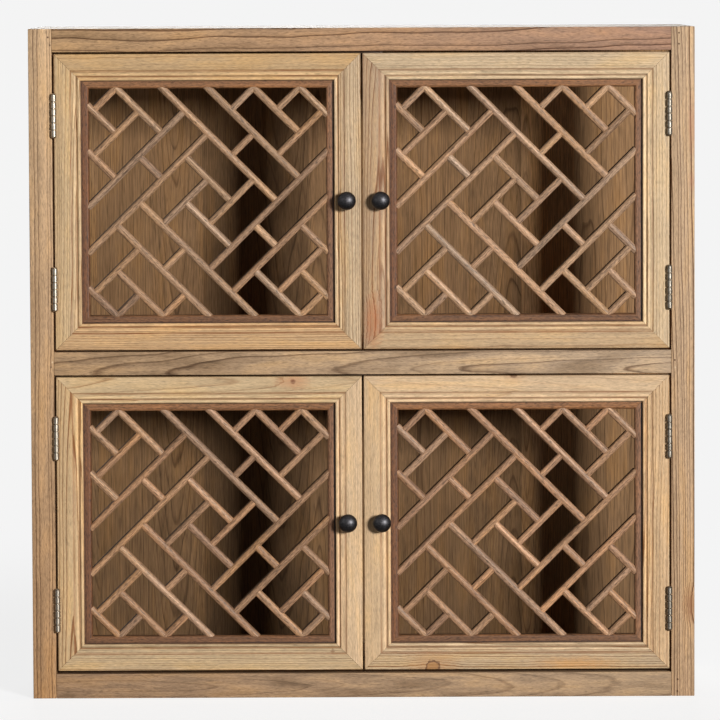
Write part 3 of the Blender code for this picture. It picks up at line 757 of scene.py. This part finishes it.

# %% [markdown]
# ## Grilles
# A bar that meets another is butted into its side. One that reaches the frame laps onto the rounded edge
# of a strip at the sides, or is buried in it at the top and bottom. Each door's grille came from
# its own batch of stain. The four strips are mitred; each has the lit or shaded colour of its side, darker
# at the bottom as painted shade, with painted shade along the seam where it sits in the door's rebate.

# %% Glue up the grilles
strip_show, strip_round, strip_fit = 0.012, 0.004, 0.0003
bar_butt, strip_lap, strip_bury = 0.002, 0.0025, 0.0035
grid_side, grid_end = 0.00575, 0.0015
BAR_CODES = ("#a77e5b", "#a37d5b", "#a17b5b", "#a27f60", "#9e795a", "#a8815e", "#9f7856")
CREST_WEAR_AND_HIGHLIGHT = (0.0, 0.12, 0.25, 0.5, 0.75)
bar_bright, bar_rings = (0.79, 0.95), (0.3, 0.9)
GRILLE_TONES = {"upper_left": (1.0, 1.02, 1.05), "upper_right": (1.12, 1.17, 1.24),
                "lower_left": (1.0, 0.98, 0.99), "lower_right": (1.07, 1.04, 1.05)}
for door, side in DOORS:
    batch = Vector(GRILLE_TONES[door])
    low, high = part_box(door + "_lattice")
    strip_w = strip_show + rebate_w - strip_fit
    clear_w = high.x - low.x - 2 * strip_w
    clear_h = high.z - low.z - 2 * strip_w
    middle = Vector(((low.x + high.x) / 2, low.y, (low.z + high.z) / 2))
    step_x = (clear_w - 2 * grid_side) / grid
    step_z = (clear_h + 2 * grid_end) / grid
    whole = blank()
    falling, rising = bars()
    taken = {point for bar in falling for point in bar}
    for kind, group in (("falling", falling), ("rising", rising)):
        for start, end in group:
            ends = []
            for here, there in ((start, end), (end, start)):
                point, other = [Vector(((i - grid / 2) * step_x, 0, (grid / 2 - j) * step_z))
                                for i, j in (here, there)]
                away = (point - other).normalized()
                if here[1] in (0, grid):
                    reach = (strip_bury + bar_w / 2) / math.sqrt(2)
                elif here[0] in (0, grid) and (kind == "falling" or here not in taken):
                    reach = (grid_side + strip_lap) / abs(away.x)
                else:
                    reach = bar_butt - bar_w / 2
                ends.append(point + away * reach)
            run = ends[1] - ends[0]
            colours = tone(random.choice(BAR_CODES), LATTICE_BASE) * batch * random.uniform(*bar_bright)
            # Falling bars get a pale crest: wear and a painted highlight.
            rubbed = random.choice(CREST_WEAR_AND_HIGHLIGHT) if kind == "falling" else 0.0
            section = bar_section(kind == "rising")
            bit = stick(run.length, section, colours, random.uniform(*bar_rings), rubbed)
            turn = Matrix.Rotation(-math.atan2(run.z, run.x), 4, "Y")
            gather(whole, bit, Matrix.Translation(middle + (ends[0] + ends[1]) / 2) @ turn)
    half_w, half_h = (high.x - low.x) / 2, (high.z - low.z) / 2

    # Each strip is its colour, lit or shaded for its side, clear length, way from the middle, turn, and the
    # width and darkness of the painted shade along its seam.
    strips = (("#835938", clear_w, half_h, 0.0, 0.0016, 0.5),
              ("#6a472d", clear_w, half_h, math.pi, 0.0018, 0.75),
              ("#684228", clear_h, half_w, -math.pi / 2, 0.0030, 0.35),
              ("#7b563c", clear_h, half_w, math.pi / 2, 0.0026, 1.0))
    for code, length, half, turn, seam, dark in strips:
        outer = strip_w - strip_show
        # The outer faces, the seam and the inner wall are painted dark as shade.
        section = [(0, strip_t, dark), (0, 0, dark), (outer + seam, 0, dark), (outer + seam + 0.0004, 0, 0.0)]
        nose = arc((strip_w - strip_round, strip_round), (strip_round, strip_round), -90, 0, 6)
        section += [(x, y, 0.0) for x, y in nose]
        section += [(strip_w, strip_round + 0.0004, dark), (strip_w, strip_t, dark)]
        run = length + 2 * strip_w
        bit = stick(run, [(-x, y, s) for x, y, s in section], tone(code, LATTICE_BASE), 0.5)
        for vert in bit.verts:
            vert.co.x -= math.copysign(-vert.co.z, vert.co.x)
        spin = Matrix.Rotation(turn, 4, "Y")
        gather(whole, bit, Matrix.Translation(middle) @ spin @ Matrix.Translation((0, 0, half)))
    make_piece(door + "_grille", whole, lattice_wood, f"{door}_door", [door + "_lattice"])
print("bars in each grille", len(falling) + len(rising))

# %% [markdown]
# ## Carcass boards
# The top, shelf, floor and back are edge-glued from planks about a hand wide, and each plank came from
# another tree. A copy of the CAD board keeps every notch and groove; it is cut into planks, and each plank
# gets its own grain and tone. The back has finer rings and a darker stain than the front, and it is what
# shows through the lattice: its planks have the tones that the photograph shows there, which paint the
# shadow behind the meeting stiles darker and the shadow behind the right post lighter, paler towards the top.

# %% Planked boards
inner_pine = wood("inner_pine_stained", "#c9a27c", "#8c6848", "#4c3220", spacing=0.0052, bend=0.010,
                  fibre=0.15, dashes=60.0, rough=0.7, sheen=0.12)
back_pine = wood("back_pine_stained", "#a98663", "#6a4f38", "#4c3220", spacing=0.0034, bend=0.008,
                 fibre=0.26, dashes=30.0, rough=0.72, sheen=0.1)
top_pine = wood("top_pine_waxed", "#c6a57f", "#5f4129", "#4a301c", spacing=0.0066, bend=0.010,
                fibre=0.20, dashes=130.0, rough=0.62, sheen=0.2)
INNER_BASE = "#b08a66"
fade_middle = 0.6
weld, flat_turn = 0.00002, 0.02


def planked(node, axes, width, material, code, contrast, fade=0.0, tones=()):
    """A copy of a CAD board, sawn into planks of about this width that each have a grain of their own.

    axes are the directions along the planks, across them and into the board; fade makes their far ends paler.
    """
    along, across, deep = axes
    bm = blank()
    bm.from_mesh(bpy.data.objects[node].data)
    bmesh.ops.remove_doubles(bm, verts=bm.verts, dist=weld)
    bmesh.ops.dissolve_limit(bm, angle_limit=flat_turn, verts=bm.verts, edges=bm.edges)
    low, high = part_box(node)
    count = max(1, round((high[across] - low[across]) / width))
    pitch = (high[across] - low[across]) / count
    for n in range(1, count):
        spot, normal = Vector(low), Vector((0, 0, 0))
        spot[across] = low[across] + n * pitch
        normal[across] = 1.0
        everything = bm.verts[:] + bm.edges[:] + bm.faces[:]
        cut = bmesh.ops.bisect_plane(bm, geom=everything, plane_co=spot, plane_no=normal)
        seam = [e for e in cut["geom_cut"] if isinstance(e, bmesh.types.BMEdge)]
        bmesh.ops.split_edges(bm, edges=seam)
    grown = []
    for n in range(count):
        turn = random.uniform(0.3, 2.8)
        far = random.uniform(0.02, 0.11)
        grown.append((random.uniform(0, 60), far * math.cos(turn), far * math.sin(turn),
                      random.uniform(-0.06, 0.06), random.uniform(0.93, 1.07)))
    grown = [(*growth[:4], bright) for growth, bright in zip(grown, tones)] or grown
    layers = [bm.verts.layers.float_vector[name] for name in LAYERS]
    base = tone(code, INNER_BASE)
    for face in bm.faces:
        n = min(count - 1, int((face.calc_center_median()[across] - low[across]) / pitch))
        start, pith_v, pith_w, lean, bright = grown[n]
        for vert in face.verts:
            u = vert.co[along] - low[along]
            v = vert.co[across] - low[across] - (n + 0.5) * pitch
            w = vert.co[deep] - low[deep] + lean * u
            vert[layers[0]] = (u + start, v - pith_v, w + pith_w)
            vert[layers[1]] = base * bright * (1 + fade * (u / (high[along] - low[along]) - fade_middle))
            vert[layers[2]] = (contrast, 0.3, 0.0)
    make_piece(node + "_boards", bm, material, "carcass", [node], smooth=20)
    return count


# Plank tones: painted shadow behind the meeting stiles, painted light over the right post's shadow.
back_painted_shade_and_light = (1.06, 1.02, 0.97, 0.74, 0.70, 0.95, 1.0, 1.0, 0.88, 1.5, 1.08, 1.0)
planks = planked("back_panel", (2, 0, 1), 0.083, back_pine, "#a37d59", 0.9, 0.58, back_painted_shade_and_light)
planks += planked("top_panel", (0, 1, 2), 0.09, top_pine, "#a98a6a", 0.9)
planks += planked("middle_shelf", (0, 1, 2), 0.09, inner_pine, "#b08a66", 0.7)
# The floor takes a darker tone than the shelf of the same wood: painted shade for the floor seen low in the
# lower compartments.
planks += planked("bottom_panel", (0, 1, 2), 0.09, inner_pine, "#7a5c42", 0.7)
for node in ("left_side_rail", "right_side_rail"):
    planks += planked(node, (1, 2, 0), 0.11, frame_pine, "#b08d69", 0.9)
print("planks", planks)

# %% [markdown]
# ## Glass sides
# Each side is one sheet of window glass that slides in grooves. It hardly shows, and that is how it should
# look: seen squarely it lets nearly everything through, and towards a grazing view it covers more and more
# of what lies behind. A faint green cast and a soft reflection tell the eye that something is there.

# %% Panes
def plain(name, base, roughness, metallic, speck, depth, scale):
    """A metal, plastic or glass whose colour and gloss vary in soft blotches, scale to the metre."""
    material, tree, shader = new_material(name)
    place = add(tree, "TexCoord").outputs["Object"]
    blotch = add(tree, "TexNoise", {"Vector": place, "Scale": scale, "Detail": 4.0,
                                    "Roughness": 0.6}).outputs[0]
    grit = add(tree, "TexNoise", {"Vector": place, "Scale": scale * 9, "Detail": 2.0}).outputs[0]
    both = add(tree, "Mix", {0: 0.35, 2: blotch, 3: grit}).outputs[0]
    colour = blended(tree, ranged(tree, both, 0.38, 0.62), linear(base), linear(speck))
    gloss = ranged(tree, both, 0.3, 0.7, roughness - 0.08, roughness + 0.12)
    bump = add(tree, "Bump", {"Height": both, "Strength": 0.4, "Distance": depth}).outputs[0]
    feed(tree, shader, {"Base Color": colour, "Roughness": gloss, "Normal": bump, "Metallic": metallic})
    return material


window_glass = plain("window_glass_clear", "#cfe0d6", 0.10, 0.0, "#d8e6de", 0.00002, 6.0)
tree = window_glass.node_tree
square_cover, grazing_cover = 0.06, 0.95
grazing = add(tree, "LayerWeight", {"Blend": 0.5}).outputs["Facing"]
cover = ranged(tree, grazing, 0.68, 0.84, square_cover, grazing_cover)
feed(tree, tree.nodes["Principled BSDF"], {"Alpha": cover})
pane_ease = 0.0004
for side in SIDES:
    low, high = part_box(side + "_side_glass")
    bm = slab(low, high, pane_ease)
    make_piece(side + "_pane", bm, window_glass, "carcass", [side + "_side_glass"])
print("panes", len(SIDES))

# %% [markdown]
# ## Knobs
# The knobs are mushroom shaped, turned and then blackened, so one profile spun about its axis makes them.
# The black is uneven: patches of oil finish are a little greyer and duller than the rest. A screw from
# behind holds each one, and its head shows on the inside of the open door.

# %% Spin the knobs
black_iron = plain("knob_iron_blackened", "#29282a", 0.40, 1.0, "#484648", 0.0003, 420.0)
tree = black_iron.node_tree
feed(tree, tree.nodes["Principled BSDF"], {"Coat Weight": 0.25, "Coat Roughness": 0.35})
knob_r, knob_dome, knob_out, neck_r, foot_r, foot_h = 0.014, 0.0095, 0.026, 0.0048, 0.0065, 0.0025
knob_screw = ((0.0, 0.0016), (0.0018, 0.0015), (0.0034, 0.0009), (0.0038, 0.0), (0.0, 0.0))


def spun(profile, steps):
    """Turn (radius, height) points about Z into a closed body."""
    bm = bmesh.new()
    verts = [bm.verts.new((radius, 0, height)) for radius, height in profile]
    edges = [bm.edges.new(pair) for pair in zip(verts, verts[1:])]
    bmesh.ops.spin(bm, geom=verts + edges, cent=(0, 0, 0), axis=(0, 0, 1), dvec=(0, 0, 0),
                   angle=2 * math.pi, steps=steps, use_merge=True, use_duplicate=False)
    bmesh.ops.remove_doubles(bm, verts=bm.verts, dist=0.00001)
    return bm


def knob_profile():
    """Crown of the dome, rolled rim, hollow underside, neck, and a small foot on the door."""
    edge = knob_out - knob_dome
    rim_w, rim_h = 0.0009, 0.0011
    lip, fillet_w, fillet_h = 0.001, 0.0012, 0.0016
    points = arc((0, edge), (knob_r, knob_dome), 90, 8, 18)
    points += arc((knob_r - rim_w, edge), (rim_w, rim_h), 0, -80, 5)
    points += arc((neck_r, edge - lip), (knob_r - neck_r - lip, knob_dome / 2), -8, -90, 8)
    points += arc((neck_r + fillet_w, 2 * foot_h), (fillet_w, fillet_h), 180, 250, 4)
    points += [(foot_r - 0.0003, foot_h), (foot_r, foot_h - 0.0004), (foot_r, 0.0), (0.0, 0.0)]
    return points


rearward = Matrix.Rotation(math.radians(-90), 4, "X")
for door, side in DOORS:
    low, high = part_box(door + "_knob")
    bm = spun(knob_profile(), 48)
    foot = Vector(((low.x + high.x) / 2, high.y, (low.z + high.z) / 2))
    bm.transform(Matrix.Translation(foot) @ Matrix.Rotation(math.radians(90), 4, "X"))
    make_piece(door + "_knob_turned", bm, black_iron, f"{door}_door", [door + "_knob"],
               smooth=50)
    screw = spun(knob_screw, 24)
    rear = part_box(f"{door}_door_knob_stile")[1].y
    screw.transform(Matrix.Translation((foot.x, rear, foot.z)) @ rearward)
    make_piece(door + "_knob_screw", screw, black_iron, f"{door}_door")
print("knobs", len(DOORS))

# %% [markdown]
# ## Butt hinges
# A butt hinge is two leaves rolled round one pin. Their knuckles alternate, three from each leaf, and the
# thin dark gaps between them are what the eye sees from the front. The nickel is warm; the right-hand hinges
# take a darker, slightly rougher copy of it. The leaves sit in the gap beside the door, with countersunk
# screws that show when it is open.

# %% Leaves, knuckles and screws
aged_nickel = plain("hinge_nickel_aged", "#b9afa0", 0.34, 1.0, "#8c8070", 0.0001, 260.0)
# The right-hand hinges use this darker, slightly rougher copy of the nickel.
darker_nickel = plain("hinge_nickel_right_darker", "#9c958a", 0.36, 1.0, "#5f574b", 0.0001, 260.0)
barrel_r, pin_r, tip_l, leaf_t, leaf_w, knuckles = 0.0042, 0.0020, 0.0020, 0.0010, 0.016, 6
hinge_l = 0.064
fit, door_gap = 0.0003, 0.003
knuckle_gap, knuckle_rim, leaf_ease = 0.0007, 0.0003, 0.0002
screw_places = ((0.005, 0.024), (0.010, 0.0), (0.005, -0.024))
leaf_screw = ((0.0, 0.00012), (0.0009, 0.00006), (0.0019, 0.00016), (0.0022, 0.0), (0.0, 0.0))


def leaf(first, near):
    """One leaf about its pin axis; the frame leaf has the first knuckle and the tips."""
    pitch = hinge_l / knuckles
    half = hinge_l / 2
    bm = bmesh.new()
    far = near + leaf_t
    gather(bm, slab((near, barrel_r - leaf_ease, -half), (far, barrel_r + fit + leaf_w, half), leaf_ease))
    for n in range(first, knuckles, 2):
        low, high = half - (n + 1) * pitch + knuckle_gap, half - n * pitch - knuckle_gap
        rim = knuckle_rim
        roll = [(0.0, high), (barrel_r - rim, high), (barrel_r - 0.0001, high - 0.0001),
                (barrel_r, high - rim), (barrel_r, low + rim), (barrel_r - 0.0001, low + 0.0001),
                (barrel_r - rim, low), (0.0, low)]
        gather(bm, spun(roll, 28))
        gather(bm, slab((near, 0.0005, low), (far, barrel_r + 0.0004, high), leaf_ease))
    if first == 0:
        pin = [(0.0, half), (pin_r, half), (pin_r, -half), (0.0, -half)]
        gather(bm, spun(pin, 20))
        for turn in (0.0, math.pi):
            tip = [(0.0, half + tip_l)] + arc((0.0, half), (barrel_r - 0.0005, tip_l), 80, 0, 6)[:-1]
            tip += [(barrel_r - 0.0003, half + 0.0002), (barrel_r - 0.0008, half - 0.0001),
                    (0.0, half - 0.0001)]
            gather(bm, spun(tip, 28), Matrix.Rotation(turn, 4, "X"))
    outward = -1 if first else 1
    surface = near if first else far
    for deep, high in screw_places:
        turn = Matrix.Rotation(math.radians(90 * outward), 4, "Y")
        gather(bm, spun(leaf_screw, 20), Matrix.Translation((surface, barrel_r + deep, high)) @ turn)
    return bm


leaves = 0
for door, side in DOORS:
    flip = Matrix.Rotation(0.0 if side == "left" else math.pi, 4, "Y")
    metal = aged_nickel if side == "left" else darker_nickel
    for end in ("top", "bottom"):
        low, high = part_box(f"{door}_{end}_hinge_frame_leaf")
        axis = Matrix.Translation(((low.x + high.x) / 2, low.y + barrel_r, (low.z + high.z) / 2))
        for kind, first, near, body in (("frame", 0, fit - door_gap, "carcass"),
                                        ("door", 1, -fit - leaf_t, f"{door}_door")):
            node = f"{door}_{end}_hinge_{kind}_leaf"
            bm = leaf(first, near)
            bm.transform(axis @ flip)
            make_piece(node + "_rolled", bm, metal, body, [node], smooth=20)
            leaves += 1
print("hinge leaves", leaves)

# %% [markdown]
# ## Catches
# A brown moulded block with a pair of magnets hangs behind the rail, and a thin zinc plate on each door
# meets it. They show only when a door stands open.

# %% Catches and strike plates
catch_plastic = plain("catch_plastic_moulded", "#5a3f2a", 0.45, 0.0, "#664a33", 0.00005, 500.0)
zinc_steel = plain("strike_steel_zinc", "#c9cac8", 0.30, 1.0, "#adb0b0", 0.00004, 300.0)
pole_x, pole_apart, pole_half, screw_x = 0.018, 0.004, 0.0012, 0.028
pole_proud, pole_in, pole_low, pole_high = 0.0002, 0.002, 0.0008, 0.0082
case_ease, pole_ease, plate_ease = 0.001, 0.0002, 0.0003
case_screw = ((0.0, 0.0011), (0.0012, 0.001), (0.0024, 0.0006), (0.0028, 0.0), (0.0, 0.0))
plate_screw = ((0.0, 0.0001), (0.0008, 0.0001), (0.0018, 0.0003), (0.0021, 0.0), (0.0, 0.0))
case_screw_down, plate_screw_in = 0.006, 0.0045
for row in ROWS:
    low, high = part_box(row + "_catch")
    bm = slab(low, high, case_ease)
    make_piece(row + "_catch_case", bm, catch_plastic, "carcass", [row + "_catch"])
    poles = bmesh.new()
    for centre in (-pole_x, pole_x):
        for apart in (-pole_apart, pole_apart):
            gather(poles, slab((centre + apart - pole_half, low.y - pole_proud, low.z + pole_low),
                               (centre + apart + pole_half, low.y + pole_in, low.z + pole_high), pole_ease))
    for centre in (-screw_x, screw_x):
        place = Matrix.Translation((centre, high.y, high.z - case_screw_down))
        gather(poles, spun(case_screw, 20), place @ rearward)
    make_piece(row + "_catch_poles", poles, zinc_steel, "carcass")
for door, side in DOORS:
    low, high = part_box(door + "_strike_plate")
    bm = slab(low, high, plate_ease)
    for x in (low.x + plate_screw_in, high.x - plate_screw_in):
        gather(bm, spun(plate_screw, 20), Matrix.Translation((x, high.y, (low.z + high.z) / 2)) @ rearward)
    node = door + "_strike_plate"
    make_piece(door + "_strike_zinc", bm, zinc_steel, f"{door}_door", [node])
print("strike plates", len(DOORS))
